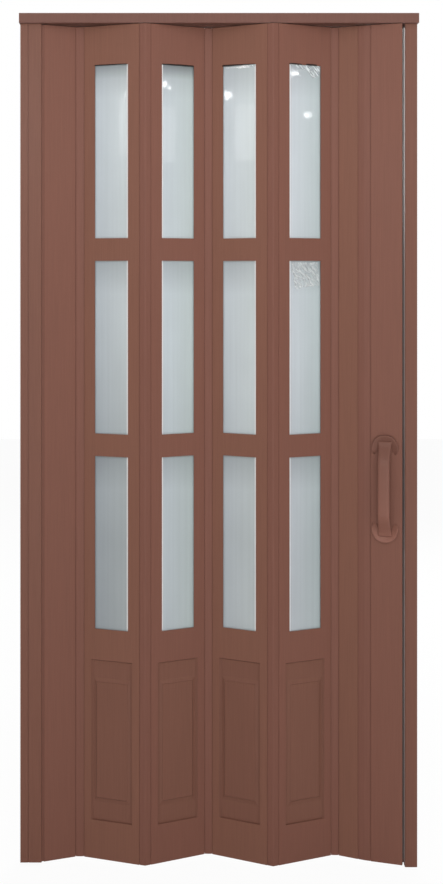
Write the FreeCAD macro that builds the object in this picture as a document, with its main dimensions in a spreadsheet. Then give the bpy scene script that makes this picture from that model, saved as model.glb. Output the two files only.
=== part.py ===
import FreeCAD, Part
import math
import os

import Sketcher

# A folding door of hollow plastic lamellas, part folded, in millimetres.
# The origin is the middle of the header's top face, +Z is up and the front faces -Y.

SIZES = [
    # The whole door
    ("total_height", 2030, "floor to the top of the header"),
    ("floor_gap", 10, "floor to the lower ends of the lamellas"),
    ("post_floor_gap", 11, "floor to the lower end of the left post"),
    ("track_gap", 1.5, "header to the upper ends of the lamellas"),
    # Header track
    ("header_height", 23, "height of the track profile"),
    ("header_depth", 64, "depth of the track profile"),
    ("header_wall", 1.8, "walls of the track profile"),
    ("header_lip", 2.5, "thickness of the two running lips"),
    ("header_slot", 14, "slot between the running lips"),
    ("header_overhang", 0.6, "header past the posts at each end, up to its cap"),
    ("cap_thick", 1.5, "plate of a header end cap"),
    ("cap_spigot", 8, "spigot of an end cap inside the track"),
    ("cap_fit", 0.2, "clearance round the spigot"),
    ("screw_hole", 4.5, "diameter of a fixing hole"),
    ("header_hole_end", 36, "first header hole from the end of the track"),
    ("header_hole_count", 4, "fixing holes in the header"),
    # Wall channel and left post
    ("post_depth", 40, "depth of the posts at both sides"),
    ("post_seam", 1.4, "groove between the wall channel and the post"),
    ("post_chamfer", 1, "chamfers along the posts' free corners"),
    ("channel_reach", 18, "wall channel, from the wall to its edge"),
    ("channel_wall", 1.5, "walls of the wall channel"),
    ("post_reach", 50.5, "from the wall to the post's free face"),
    ("post_wall", 1.5, "walls of the left post"),
    ("post_fit", 0.3, "clearance of the post inside the channel"),
    ("post_tongue", 12, "how far the post stands in the channel"),
    ("side_hole_count", 4, "fixing holes in a channel or jamb"),
    ("side_hole_end", 295, "outermost side holes from the floor and from the header"),
    # Lamellas
    ("fold_pitch", 166, "from fold line to fold line along a lamella"),
    ("hinge_reach", 12.7, "from a fold line to a lamella's edge"),
    ("lamella_thick", 12, "over the two skins"),
    ("skin", 1.2, "skin of a lamella"),
    ("edge_wall", 2, "edge wall of a lamella, round the slot"),
    ("edge_room", 8, "depth of the edge chamber behind the slot"),
    ("slot_wide", 3.6, "slot in a lamella's edge"),
    ("pane_room", 113.5, "width of the chamber that holds the panes"),
    ("rib", 1.5, "inner ribs"),
    ("groove_lip", 1, "thickness of a groove lip"),
    ("groove_deep", 4, "how far a groove lip stands in"),
    ("groove_wide", 3.4, "groove between two lips"),
    # Windows and the sunk panel
    ("window_width", 84, "window cut in both skins"),
    ("window_rail", 54, "rail between two windows"),
    ("window_rows", 3, "windows in a lamella"),
    ("top_rail", 94.5, "upper window to the lamella's upper end"),
    ("panel_width", 103.5, "opening of the sunk panel"),
    ("panel_height", 385, "height of that opening"),
    ("panel_rail", 74, "rail between the sunk panel and the lowest window"),
    ("panel_base", 92, "opening above the lamella's lower end"),
    ("pane_thick", 3, "a pane"),
    ("insert_lap", 18, "pane past its window above and below"),
    ("groove_play", 0.25, "pane to the bottom of its groove"),
    ("field_inset_x", 11, "raised field from the side of the opening"),
    ("field_inset_z", 52, "raised field from the top and bottom of the opening"),
    ("field_rise", 2, "raised field over the plate"),
    ("field_taper", -30, "taper of the raised field's edge, in degrees"),
    # End lamellas
    ("starter_width", 93, "from the post's edge to the first fold line"),
    ("starter_gap", 1.2, "post to the line on which the starter lamella turns"),
    ("starter_inset", 2, "that line to the starter lamella's edge"),
    ("starter_set", -8, "starter lamella's edge from the middle of the track, along Y"),
    ("lead_pitch", 75, "last fold line to the lead post's strip, along the lead lamella"),
    ("lead_reach", 15, "middle of the lead post's strip to the edges at both sides"),
    ("post_pitch", 89.5, "middle of that strip to the lead post's free edge"),
    ("edge_chamfer", 0.7, "chamfers along a lamella's edges"),
    # Hinge strips
    ("hinge_skin", 2.4, "outer skin of a hinge strip"),
    ("hinge_stem", 1.4, "half thickness of the stem inside the fold"),
    ("stem_fillet", 1.1, "slope between the outer skin and the stem"),
    ("cover_thick", 1.8, "inner cover of the fold, at the end of the stem"),
    ("cover_set", 0.8, "inner cover behind the lamellas' inner corners"),
    ("cover_play", 0.5, "inner cover to the lamellas' edges"),
    ("cover_bulge", 0.6, "how far the inner cover is domed"),
    ("hinge_foot", 2, "foot of the strip against the lamella's edge"),
    ("hinge_round", 5, "rounding of the fold"),
    ("hinge_seam", 1.4, "groove between the strip's skin and a lamella, wide and deep"),
    ("hinge_short", 0.4, "strip short of the lamella at each end"),
    ("tongue_thick", 3.2, "tongue in the slot"),
    ("tongue_head", 7.6, "head of the tongue in the edge chamber"),
    ("tongue_head_long", 2.5, "length of that head"),
    ("tongue_play", 0.2, "head of the tongue to the edge wall"),
    # Folds, in degrees from the line of the track
    ("turn_starter", 19.7, "starter lamella"),
    ("turn_1", 18.2, "first glazed lamella"),
    ("turn_2", 23.4, "second glazed lamella"),
    ("turn_3", 24.6, "third glazed lamella"),
    ("turn_4", 22.0, "fourth glazed lamella"),
    ("turn_lead", 24.5, "lead lamella"),
    ("turn_post", 17, "lead post"),
    # Strike jamb
    ("jamb_gap", 7.5, "lead post to the strike jamb"),
    ("jamb_width", 29, "width of the strike jamb"),
    ("jamb_wall", 1.8, "walls of the strike jamb"),
    ("magnet_wide", 9, "width of a magnetic strip"),
    ("magnet_thick", 2.2, "thickness of a magnetic strip"),
    ("magnet_fit", 0.15, "clearance round a magnetic strip"),
    # Runners
    ("runner_long", 26, "runner block along the track"),
    ("runner_wide", 46, "over the wheels, across the track"),
    ("runner_high", 7, "height of the runner block"),
    ("wheel_radius", 5.5, "running wheels"),
    ("wheel_wide", 4.5, "width of a wheel"),
    ("wheel_spread", 16, "between the two axles"),
    ("run_clearance", 0.2, "wheel to the running lip"),
    ("pin_radius", 2.5, "pin through the slot"),
    ("plug_long", 20, "plug in the lamella's upper end, along it"),
    ("plug_high", 24, "height of the plug"),
    ("plug_fit", 0.2, "clearance of the plug between the skins"),
    ("plug_collar", 0.8, "collar that rests on the lamella's upper end"),
    # Handle
    ("handle_middle", 890.5, "middle of the handle above the lamellas' lower ends"),
    ("handle_inset", 40.5, "middle of the handle from the lead post's free edge"),
    ("handle_length", 256, "length over the feet"),
    ("grip_width", 28, "width of the grip"),
    ("grip_thick", 9, "thickness of the grip"),
    ("grip_stand", 32, "grip's outer side from the post"),
    ("grip_rise", 22, "length over which the grip leaves the foot"),
    ("bend_round", 14, "rounding of the grip's bends"),
    ("grip_bevel", 2.2, "chamfer of the grip's front edges"),
    ("grip_knee", 26, "where the grip bends into a foot, from the post"),
    ("foot_width", 65, "width of a foot over its horns"),
    ("foot_thick", 7, "thickness of a foot"),
    ("foot_height", 46, "height of a foot to the tips of its horns"),
    ("horn_thick", 9, "thickness of a horn's tip"),
    ("horn_notch", 18, "notch between a horn and the grip"),
    ("horn_root", 13, "width of a horn at the notch"),
    ("foot_overlap", 5.6, "foot under the grip's sides"),
    ("horn_shoulder", 13, "sloped shoulder of a foot"),
    ("horn_round", 3.5, "rounding of the horns' corners"),
    ("foot_bevel", 1.6, "chamfer of a foot's rim"),
]

# Panels from left to right: the sheet's turn and the side that it leans to
TURNS = [("turn_starter", 1), ("turn_1", -1), ("turn_2", 1),
         ("turn_3", -1), ("turn_4", 1), ("turn_lead", -1), ("turn_post", -1)]
LEAD_LAMELLA = 5
LEAD_POST = 6

doc = FreeCAD.newDocument("folding_door")
sheet = doc.addObject("Spreadsheet::Sheet", "sizes")
made = []


class Size:
    """A length or angle: its value, and its wording in the sheet's names."""

    def __init__(self, value, text):
        self.value = float(value)
        self.text = text

    def __add__(self, other):
        other = as_size(other)
        return Size(self.value + other.value, "(" + self.text + " + " + other.text + ")")

    __radd__ = __add__

    def __sub__(self, other):
        other = as_size(other)
        return Size(self.value - other.value, "(" + self.text + " - " + other.text + ")")

    def __rsub__(self, other):
        return as_size(other) - self

    def __mul__(self, other):
        other = as_size(other)
        return Size(self.value * other.value, "(" + self.text + " * " + other.text + ")")

    __rmul__ = __mul__

    def __truediv__(self, other):
        other = as_size(other)
        return Size(self.value / other.value, "(" + self.text + " / " + other.text + ")")

    def __neg__(self):
        return Size(-self.value, "(-" + self.text + ")")


def as_size(number):
    return number if isinstance(number, Size) else Size(number, repr(float(number)))


def cosine(angle):
    return Size(math.cos(math.radians(angle.value)), "cos(" + angle.text + ")")


def sine(angle):
    return Size(math.sin(math.radians(angle.value)), "sin(" + angle.text + ")")


def fill_sheet():
    """Writes each driving size in a cell of its own, with its name as alias."""
    names = {}
    for row, (name, value, meaning) in enumerate(SIZES, start=1):
        sheet.set("A" + str(row), name)
        sheet.set("B" + str(row), str(value))
        sheet.set("C" + str(row), meaning)
        sheet.setAlias("B" + str(row), name)
        names[name] = Size(value, "sizes." + name)
    doc.recompute()
    return names


size = fill_sheet()
ZERO = as_size(0)

# Derived sizes, used by several pieces
lamella_length = size["total_height"] - size["header_height"] - size["track_gap"] - size["floor_gap"]
lamella_width = size["fold_pitch"] - 2 * size["hinge_reach"]
half_thick = size["lamella_thick"] / 2
room_half = half_thick - size["skin"]
edge_depth = size["edge_wall"] + size["edge_room"] + size["rib"]
side_length = size["total_height"] - size["header_height"]
post_length = side_length - size["post_floor_gap"]
window_base = size["panel_base"] + size["panel_height"] + size["panel_rail"]
window_rails = size["window_rail"] * (size["window_rows"] - 1)
window_height = (lamella_length - window_base - window_rails - size["top_rail"]) / size["window_rows"]
window_step = window_height + size["window_rail"]
side_hole_step = (side_length - 2 * size["side_hole_end"]) / (size["side_hole_count"] - 1)
hinge_length = lamella_length - 2 * size["hinge_short"]


def chain():
    """Fold points in plan, from the starter lamella's edge to the lead post's free edge."""
    widths = [size["starter_width"]] + 4 * [size["fold_pitch"]] + [size["lead_pitch"], size["post_pitch"]]
    x = size["post_reach"].value + size["starter_gap"].value
    y = size["starter_set"].value
    points = [(x, y)]
    for (turn, side), width in zip(TURNS, widths):
        angle = math.radians(side * size[turn].value)
        x += width.value * math.cos(angle)
        y += width.value * math.sin(angle)
        points.append((x, y))
    return points


folds = chain()
jamb_left = folds[-1][0] + size["jamb_gap"].value
door_width = jamb_left + size["jamb_width"].value
middle_x = door_width / 2
floor_z = -size["total_height"].value
lamella_z = floor_z + size["floor_gap"].value


def place(piece, x, y, z, turn=0):
    """Puts a piece at a place measured from the left wall face, with Z from the header's top."""
    spin = FreeCAD.Rotation(FreeCAD.Vector(0, 0, 1), turn)
    piece.Placement = FreeCAD.Placement(FreeCAD.Vector(x - middle_x, y, z), spin)


def along(index, distance):
    """The point of panel INDEX at a distance from its left fold point, and the panel's turn."""
    name, side = TURNS[index]
    turn = side * size[name].value
    x, y = folds[index]
    return x + distance * math.cos(math.radians(turn)), y + distance * math.sin(math.radians(turn)), turn


def bind(piece, prop, value):
    """Sets a property and ties it to the sheet."""
    setattr(piece, prop, value.value)
    piece.setExpression(prop, value.text)


def new_body(label):
    body = doc.addObject("PartDesign::Body", label)
    body.Label = label
    made.append(body)
    return body


def origin_plane(body, role):
    for item in body.Origin.OriginFeatures:
        if item.Role == role:
            return item
    return None


def draw(body, name, loops, role="XY_Plane", height=ZERO):
    """A sketch of closed loops of straight lines, each corner tied to the sheet."""
    sketch = body.newObject("Sketcher::SketchObject", name)
    sketch.AttachmentSupport = (origin_plane(body, role), [""])
    sketch.MapMode = "FlatFace"
    if height.value:
        sketch.AttachmentOffset = FreeCAD.Placement(FreeCAD.Vector(0, 0, height.value), FreeCAD.Rotation())
        sketch.setExpression("AttachmentOffset.Base.z", height.text)
    for loop in loops:
        corners = [(as_size(x), as_size(y)) for x, y in loop]
        spots = [FreeCAD.Vector(x.value, y.value, 0) for x, y in corners]
        ends = spots[1:] + spots[:1]
        lines = [Part.LineSegment(start, end) for start, end in zip(spots, ends)]
        first = sketch.addGeometry(lines, False)[0]
        for step in range(len(lines)):
            following = first + (step + 1) % len(lines)
            sketch.addConstraint(Sketcher.Constraint("Coincident", first + step, 2, following, 1))
        for step, (x, y) in enumerate(corners):
            tie(sketch, "DistanceX", first + step, x)
            tie(sketch, "DistanceY", first + step, y)
    return sketch


def tie(sketch, kind, line, value):
    index = sketch.addConstraint(Sketcher.Constraint(kind, -1, 1, line, 1, value.value))
    sketch.setExpression("Constraints[" + str(index) + "]", value.text)


def draw_circles(body, name, spots, radius, role="XY_Plane"):
    """A sketch of circles, with their centres and radius tied to the sheet."""
    sketch = body.newObject("Sketcher::SketchObject", name)
    sketch.AttachmentSupport = (origin_plane(body, role), [""])
    sketch.MapMode = "FlatFace"
    for x, y in spots:
        x, y = as_size(x), as_size(y)
        circle = Part.Circle(FreeCAD.Vector(x.value, y.value, 0), FreeCAD.Vector(0, 0, 1), radius.value)
        index = sketch.addGeometry(circle, False)
        for kind, value in (("DistanceX", x), ("DistanceY", y)):
            row = sketch.addConstraint(Sketcher.Constraint(kind, -1, 1, index, 3, value.value))
            sketch.setExpression("Constraints[" + str(row) + "]", value.text)
        row = sketch.addConstraint(Sketcher.Constraint("Radius", index, radius.value))
        sketch.setExpression("Constraints[" + str(row) + "]", radius.text)
    return sketch


def extrude(body, sketch, length, both_ways=False, reverse=False):
    pad = body.newObject("PartDesign::Pad", sketch.Name + "_pad")
    pad.Profile = sketch
    bind(pad, "Length", length)
    pad.Midplane = both_ways
    pad.Reversed = reverse
    return pad


def cut_through(body, sketch):
    """Cuts a sketch through the whole piece, both ways from its plane."""
    pocket = body.newObject("PartDesign::Pocket", sketch.Name + "_cut")
    pocket.Profile = sketch
    pocket.Type = 1
    pocket.Midplane = True
    return pocket


def cut_to(body, sketch, length, reverse=False):
    pocket = body.newObject("PartDesign::Pocket", sketch.Name + "_cut")
    pocket.Profile = sketch
    bind(pocket, "Length", length)
    pocket.Reversed = reverse
    return pocket


def repeat(body, feature, role, step, count):
    """Repeats a feature along an origin axis."""
    pattern = body.newObject("PartDesign::LinearPattern", feature.Name + "_row")
    pattern.Originals = [feature]
    pattern.Direction = (origin_plane(body, role), [""])
    pattern.Mode = 1
    pattern.Occurrences = int(count.value)
    pattern.Offset = step.value
    pattern.setExpression("Offset", step.text)
    body.Tip = pattern
    return pattern


def rectangle(left, bottom, right, top):
    return [(left, bottom), (right, bottom), (right, top), (left, top)]


def round_edges(body, radius, wanted, name):
    """Rounds the edges of the body's last feature that WANTED accepts."""
    doc.recompute()
    base = body.Tip
    chosen = ["Edge" + str(number) for number, edge in enumerate(base.Shape.Edges, start=1) if wanted(edge)]
    fillet = body.newObject("PartDesign::Fillet", name)
    fillet.Base = (base, chosen)
    bind(fillet, "Radius", radius)
    return fillet


def bevel_edges(body, cut, wanted, name):
    """Chamfers the edges of the body's last feature that WANTED accepts."""
    doc.recompute()
    base = body.Tip
    chosen = ["Edge" + str(number) for number, edge in enumerate(base.Shape.Edges, start=1) if wanted(edge)]
    chamfer = body.newObject("PartDesign::Chamfer", name)
    chamfer.Base = (base, chosen)
    bind(chamfer, "Size", cut)
    return chamfer


def near(value, aim, slack=0.01):
    return abs(value - aim) < slack


def header_track():
    """Inverted C: a flat top, two sides and the lips on which the wheels run."""
    body = new_body("header_track")
    deep = size["header_depth"] / 2
    high = size["header_height"]
    wall = size["header_wall"]
    slot = size["header_slot"] / 2
    lip = size["header_lip"] - high
    length = Size(door_width, repr(door_width)) + 2 * size["header_overhang"]
    right = [(slot, -high), (deep, -high), (deep, 0)]
    inner = [(deep - wall, -wall), (deep - wall, lip), (slot, lip)]
    left = [(-as_size(x), y) for x, y in reversed(right)]
    inner_left = [(-as_size(x), y) for x, y in reversed(inner)]
    outline = right + left + inner_left + inner
    profile = draw(body, "track_profile", [outline], "YZ_Plane")
    extrude(body, profile, length, both_ways=True)
    count = size["header_hole_count"]
    reach = length / 2 - size["header_hole_end"]
    hole = draw_circles(body, "track_hole", [(-reach, ZERO)], size["screw_hole"] / 2)
    cut = cut_to(body, hole, 2 * wall)
    repeat(body, cut, "X_Axis", 2 * reach / (count - 1), count)
    place(body, middle_x, 0, 0)


def end_cap(label, x, side):
    """Cap of the header: a plate, and a spigot that fits the track's hollow."""
    body = new_body(label)
    deep = size["header_depth"] / 2
    high = size["header_height"]
    plate = draw(body, label + "_plate", [rectangle(-deep, -high, deep, ZERO)], "YZ_Plane")
    extrude(body, plate, size["cap_thick"])
    inner = deep - size["header_wall"] - size["cap_fit"]
    top = -size["header_wall"] - size["cap_fit"]
    low = size["header_lip"] + size["cap_fit"] - high
    spigot = draw(body, label + "_spigot", [rectangle(-inner, low, inner, top)], "YZ_Plane")
    extrude(body, spigot, size["cap_spigot"], reverse=True)
    place(body, x, 0, 0, 0 if side > 0 else 180)


def wall_channel():
    """U channel screwed to the wall at the left, open towards the post."""
    body = new_body("wall_channel")
    deep = size["post_depth"] / 2
    wall = size["channel_wall"]
    reach = size["channel_reach"]
    outline = [(ZERO, -deep), (reach, -deep), (reach, wall - deep), (wall, wall - deep),
               (wall, deep - wall), (reach, deep - wall), (reach, deep), (ZERO, deep)]
    extrude(body, draw(body, "channel_profile", [outline]), post_length)
    hole_z = size["side_hole_end"] - size["post_floor_gap"]
    hole = draw_circles(body, "channel_hole", [(ZERO, hole_z)], size["screw_hole"] / 2, "YZ_Plane")
    cut = cut_to(body, hole, 2 * wall, reverse=True)
    repeat(body, cut, "Z_Axis", side_hole_step, size["side_hole_count"])
    place(body, 0, 0, floor_z + size["post_floor_gap"].value)


def left_post():
    """Hollow post that stands in the wall channel and carries the starter lamella."""
    body = new_body("left_post")
    deep = size["post_depth"] / 2
    tongue = deep - size["channel_wall"] - size["post_fit"]
    wall = size["post_wall"]
    bevel = size["post_chamfer"]
    shoulder = size["channel_reach"] + size["post_seam"]
    back = size["channel_reach"] - size["post_tongue"]
    free = size["post_reach"]
    slot_low = size["starter_set"] - size["slot_wide"] / 2
    slot_high = slot_low + size["slot_wide"]
    outline = [(back, -tongue), (shoulder, -tongue), (shoulder, -deep), (free - bevel, -deep),
               (free, bevel - deep), (free, slot_low), (free - wall, slot_low), (free - wall, wall - deep),
               (shoulder + wall, wall - deep), (shoulder + wall, wall - tongue), (back + wall, wall - tongue),
               (back + wall, tongue - wall), (shoulder + wall, tongue - wall), (shoulder + wall, deep - wall),
               (free - wall, deep - wall), (free - wall, slot_high), (free, slot_high),
               (free, deep - bevel), (free - bevel, deep), (shoulder, deep), (shoulder, tongue), (back, tongue)]
    extrude(body, draw(body, "post_profile", [outline]), post_length)
    place(body, 0, 0, floor_z + size["post_floor_gap"].value)


def edge_slot(edge, inward):
    """Corners of the slotted edge of a lamella, from one skin to the other.

    EDGE is the edge's place along the lamella and INWARD the sign of the way in.
    """
    slot = size["slot_wide"] / 2
    wall = edge + inward * size["edge_wall"]
    end = wall + inward * size["edge_room"]
    lower, upper = chamfered(edge, inward, size["edge_chamfer"])
    inside = [(edge, -slot), (wall, -slot), (wall, -room_half), (end, -room_half),
              (end, room_half), (wall, room_half), (wall, slot), (edge, slot)]
    return lower + inside + upper


def chamfered(edge, inward, cut):
    """The two chamfered corners of a lamella's edge, lower then upper."""
    lower = [(edge + inward * cut, -half_thick), (edge, cut - half_thick)]
    upper = [(edge, half_thick - cut), (edge + inward * cut, half_thick)]
    return lower, upper


def pane_chamber():
    """Corners of the chamber that holds panes, with a groove at each side."""
    side = size["pane_room"] / 2
    lip = side - size["groove_deep"]
    inner = size["groove_wide"] / 2
    outer = inner + size["groove_lip"]
    right = [(side, -room_half), (side, -outer), (lip, -outer), (lip, -inner), (side, -inner),
             (side, inner), (lip, inner), (lip, outer), (side, outer), (side, room_half)]
    left = [(-x, y) for x, y in reversed(right)]
    return right + left


def glazed_lamella(index):
    """Hollow lamella with windows and a sunk panel cut through both skins."""
    label = "glazed_lamella_" + str(index)
    body = new_body(label)
    half = lamella_width / 2
    outline = edge_slot(half, -1) + list(reversed(edge_slot(-half, 1)))
    extrude(body, draw(body, label + "_profile", [outline, pane_chamber()]), lamella_length)
    wide = size["window_width"] / 2
    opening = rectangle(-wide, window_base, wide, window_base + window_height)
    cut = cut_through(body, draw(body, label + "_window", [opening], "XZ_Plane"))
    repeat(body, cut, "Z_Axis", window_step, size["window_rows"])
    wide = size["panel_width"] / 2
    base = size["panel_base"]
    opening = rectangle(-wide, base, wide, base + size["panel_height"])
    cut_through(body, draw(body, label + "_panel", [opening], "XZ_Plane"))
    x, y, turn = along(index, size["fold_pitch"].value / 2)
    place(body, x, y, lamella_z, turn)


def pane(index, row):
    """Frosted pane in the grooves of its lamella's chamber."""
    piece = doc.addObject("Part::Box", "pane_" + str(index) + "_" + str(row))
    piece.Label = piece.Name
    wide = size["pane_room"] - 2 * size["groove_play"]
    high = window_height + 2 * size["insert_lap"]
    bind(piece, "Length", wide)
    bind(piece, "Width", size["pane_thick"])
    bind(piece, "Height", high)
    x, y, turn = along(index, (size["fold_pitch"].value - wide.value) / 2)
    below = int(size["window_rows"].value) - row
    z = lamella_z + window_base.value + below * window_step.value - size["insert_lap"].value
    spin = math.radians(turn)
    thick = size["pane_thick"].value / 2
    place(piece, x + thick * math.sin(spin), y - thick * math.cos(spin), z, turn)
    made.append(piece)


def sunk_panel(index):
    """Plate in the same grooves, with a sloped raised field on both sides."""
    label = "sunk_panel_" + str(index)
    body = new_body(label)
    wide = size["pane_room"] / 2 - size["groove_play"]
    lap = size["insert_lap"]
    high = size["panel_height"]
    plate = draw(body, label + "_plate", [rectangle(-wide, -lap, wide, high + lap)], "XZ_Plane")
    extrude(body, plate, size["pane_thick"], both_ways=True)
    field = size["panel_width"] / 2 - size["field_inset_x"]
    low = size["field_inset_z"]
    loop = rectangle(-field, low, field, high - low)
    for name, reverse in (("_front", False), ("_back", True)):
        sketch = draw(body, label + name, [loop], "XZ_Plane")
        pad = extrude(body, sketch, size["pane_thick"] / 2 + size["field_rise"], reverse=reverse)
        bind(pad, "TaperAngle", size["field_taper"])
    x, y, turn = along(index, size["fold_pitch"].value / 2)
    place(body, x, y, lamella_z + size["panel_base"].value, turn)


def blank_profile(left, right, ribs):
    """Outline and chambers of a plain lamella between two slotted edges, with ribs between chambers."""
    start = edge_slot(left, 1)
    end = edge_slot(right, -1)
    outline = end + list(reversed(start))
    return [outline] + chambers(left + edge_depth, right - edge_depth, ribs)


def chambers(left, right, ribs):
    """Rectangular chambers between two walls, with ribs between them."""
    room = (right - left - ribs * size["rib"]) / (ribs + 1)
    step = room + size["rib"]
    starts = [left + number * step for number in range(ribs + 1)]
    return [rectangle(start, -room_half, start + room, room_half) for start in starts]


def starter_lamella():
    """Narrow plain lamella between the left post and the first fold."""
    body = new_body("starter_lamella")
    right = size["starter_width"] - size["hinge_reach"]
    loops = blank_profile(size["starter_inset"], right, 1)
    extrude(body, draw(body, "starter_profile", loops), lamella_length)
    x, y, turn = along(0, 0)
    place(body, x, y, lamella_z, turn)


def lead_lamella():
    """Narrow plain lamella between the last fold and the lead post's strip."""
    body = new_body("lead_lamella")
    loops = blank_profile(size["hinge_reach"], size["lead_pitch"] - size["lead_reach"], 0)
    extrude(body, draw(body, "lead_profile", loops), lamella_length)
    x, y, turn = along(LEAD_LAMELLA, 0)
    place(body, x, y, lamella_z, turn)


def lead_post():
    """Closing edge of the door: a chambered profile with a magnetic strip in its free edge."""
    body = new_body("lead_post")
    left = size["lead_reach"]
    right = size["post_pitch"]
    mouth = size["magnet_wide"] / 2 + size["magnet_fit"]
    deep = right - size["magnet_thick"] - size["magnet_fit"]
    lower, upper = chamfered(right, -1, size["edge_chamfer"])
    inside = [(right, -mouth), (deep, -mouth), (deep, mouth), (right, mouth)]
    outline = lower + inside + upper + list(reversed(edge_slot(left, 1)))
    loops = [outline] + chambers(left + edge_depth, deep - size["edge_wall"], 1)
    extrude(body, draw(body, "lead_post_profile", loops), lamella_length)
    x, y, turn = along(LEAD_POST, 0)
    place(body, x, y, lamella_z, turn)


def magnet_strip_lead():
    """Magnetic strip in the mouth of the lead post's free edge."""
    piece = doc.addObject("Part::Box", "magnet_strip_lead")
    piece.Label = piece.Name
    bind(piece, "Length", size["magnet_thick"])
    bind(piece, "Width", size["magnet_wide"])
    bind(piece, "Height", hinge_length)
    x, y, turn = along(LEAD_POST, size["post_pitch"].value - size["magnet_thick"].value)
    spin = math.radians(turn)
    half = size["magnet_wide"].value / 2
    place(piece, x + half * math.sin(spin), y - half * math.cos(spin),
          lamella_z + size["hinge_short"].value, turn)
    made.append(piece)


def hinge_strip(number, reach):
    """Soft strip at the fold between panels NUMBER - 1 and NUMBER, REACH from each of their edges.

    The outer skin runs on from the lamellas' faces on the side where the fold stands out. A stem
    carries a domed cover inside the fold, and the foot at each side has a tongue that snaps into
    the slot of a lamella's edge.
    """
    label = "hinge_strip_" + str(number)
    body = new_body(label)
    before = TURNS[number - 1][1] * size[TURNS[number - 1][0]]
    after = TURNS[number][1] * size[TURNS[number][0]]
    outward = 1 if before.value > after.value else -1
    lean = outward * (before - after) / 2
    skin = half_thick - size["hinge_skin"]
    foot = reach - size["hinge_foot"]
    tongue = size["tongue_thick"] / 2
    head = size["tongue_head"] / 2
    neck = reach + size["edge_wall"] + size["tongue_play"]
    tip = neck + size["tongue_head_long"]
    seam = size["hinge_seam"]

    def turned(u, v):
        """A point of the right half: U along the lamella, V towards the outer side."""
        return u * cosine(lean) + v * sine(lean), v * cosine(lean) - u * sine(lean)

    apex = (ZERO, half_thick / cosine(lean))
    inner_apex = skin / cosine(lean)
    right = [turned(reach - seam, half_thick), turned(reach - seam, half_thick - seam),
             turned(reach, half_thick - seam), turned(reach, tongue), turned(neck, tongue),
             turned(neck, head), turned(tip, head), turned(tip, -head), turned(neck, -head),
             turned(neck, -tongue), turned(foot, -tongue), turned(foot, skin)]
    stem = size["hinge_stem"]
    edge, face = turned(reach - size["cover_play"], size["cover_set"] - half_thick)
    under = face + size["cover_thick"]
    cover = [(stem, inner_apex - size["stem_fillet"]), (stem, under), (edge, under), (edge, face),
             (edge / 2, face - size["cover_bulge"])]
    half_outline = right + cover
    left = [(-x, y) for x, y in reversed(half_outline)]
    outline = [apex] + half_outline + left
    extrude(body, draw(body, label + "_profile", [outline]), hinge_length)
    crest = apex[1].value
    rounded = size["hinge_round"]
    round_edges(body, rounded, lambda edge: at_crest(edge, crest), label + "_round")
    x, y, turn = along(number, 0)
    spin = (before.value + after.value) / 2
    place(body, x, y, lamella_z + size["hinge_short"].value, spin + (0 if outward > 0 else 180))


def at_crest(edge, crest):
    """True for the upright edge at the fold's outer apex."""
    box = edge.BoundBox
    upright = box.ZLength > 1 and box.XLength < 0.01 and box.YLength < 0.01
    return upright and near(box.Center.x, 0) and near(box.Center.y, crest)


def post_hinge():
    """Soft strip that ties the starter lamella to the left post, with a tongue in each."""
    body = new_body("post_hinge_strip")
    tongue = size["tongue_thick"] / 2
    filler = half_thick - size["hinge_seam"]
    post_side = -size["starter_gap"]
    inset = size["starter_inset"]
    head = size["tongue_head"] / 2
    turn = size["turn_starter"]
    post_neck = -size["starter_gap"] - size["post_wall"] - size["tongue_play"]
    post_tip = post_neck - size["tongue_head_long"]
    neck = size["starter_inset"] + size["edge_wall"] + size["tongue_play"]
    tip = neck + size["tongue_head_long"]

    def turned(u, v):
        return u * cosine(turn) - v * sine(turn), u * sine(turn) + v * cosine(turn)

    outline = [(post_tip, -head), (post_neck, -head), (post_neck, -tongue), (post_side, -tongue),
               (post_side, -filler), turned(inset, -filler), turned(inset, -tongue), turned(neck, -tongue),
               turned(neck, -head), turned(tip, -head), turned(tip, head), turned(neck, head),
               turned(neck, tongue), turned(inset, tongue), (post_side, tongue), (post_neck, tongue),
               (post_neck, head), (post_tip, head)]
    extrude(body, draw(body, "post_hinge_profile", [outline]), hinge_length)
    x, y, turn = along(0, 0)
    place(body, x, y, lamella_z + size["hinge_short"].value)


def strike_jamb():
    """Hollow jamb with a shallow mouth for its magnetic strip."""
    body = new_body("strike_jamb")
    deep = size["post_depth"] / 2
    wall = size["jamb_wall"]
    bevel = size["post_chamfer"]
    mouth = size["magnet_wide"] / 2 + size["magnet_fit"]
    floor = size["magnet_thick"] + size["magnet_fit"]
    wide = size["jamb_width"]
    outline = [(bevel, -deep), (wide - bevel, -deep), (wide, bevel - deep), (wide, deep - bevel),
               (wide - bevel, deep), (bevel, deep), (ZERO, deep - bevel), (ZERO, mouth), (floor, mouth),
               (floor, -mouth), (ZERO, -mouth), (ZERO, bevel - deep)]
    inner = rectangle(floor + wall, wall - deep, wide - wall, deep - wall)
    extrude(body, draw(body, "jamb_profile", [outline, inner]), side_length)
    spots = [(ZERO, size["side_hole_end"])]
    hole = draw_circles(body, "jamb_hole", spots, size["screw_hole"] / 2, "YZ_Plane")
    cut = cut_through(body, hole)
    repeat(body, cut, "Z_Axis", side_hole_step, size["side_hole_count"])
    place(body, jamb_left, 0, floor_z)


def magnet_strip_jamb():
    """Magnetic strip in the mouth of the strike jamb."""
    piece = doc.addObject("Part::Box", "magnet_strip_jamb")
    piece.Label = piece.Name
    bind(piece, "Length", size["magnet_thick"])
    bind(piece, "Width", size["magnet_wide"])
    bind(piece, "Height", hinge_length)
    place(piece, jamb_left, -size["magnet_wide"].value / 2, lamella_z + size["hinge_short"].value)
    made.append(piece)


def crossing(index):
    """How far along a panel its middle line crosses the middle of the track."""
    name, side = TURNS[index]
    return -folds[index][1] / math.sin(math.radians(side * size[name].value))


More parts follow.
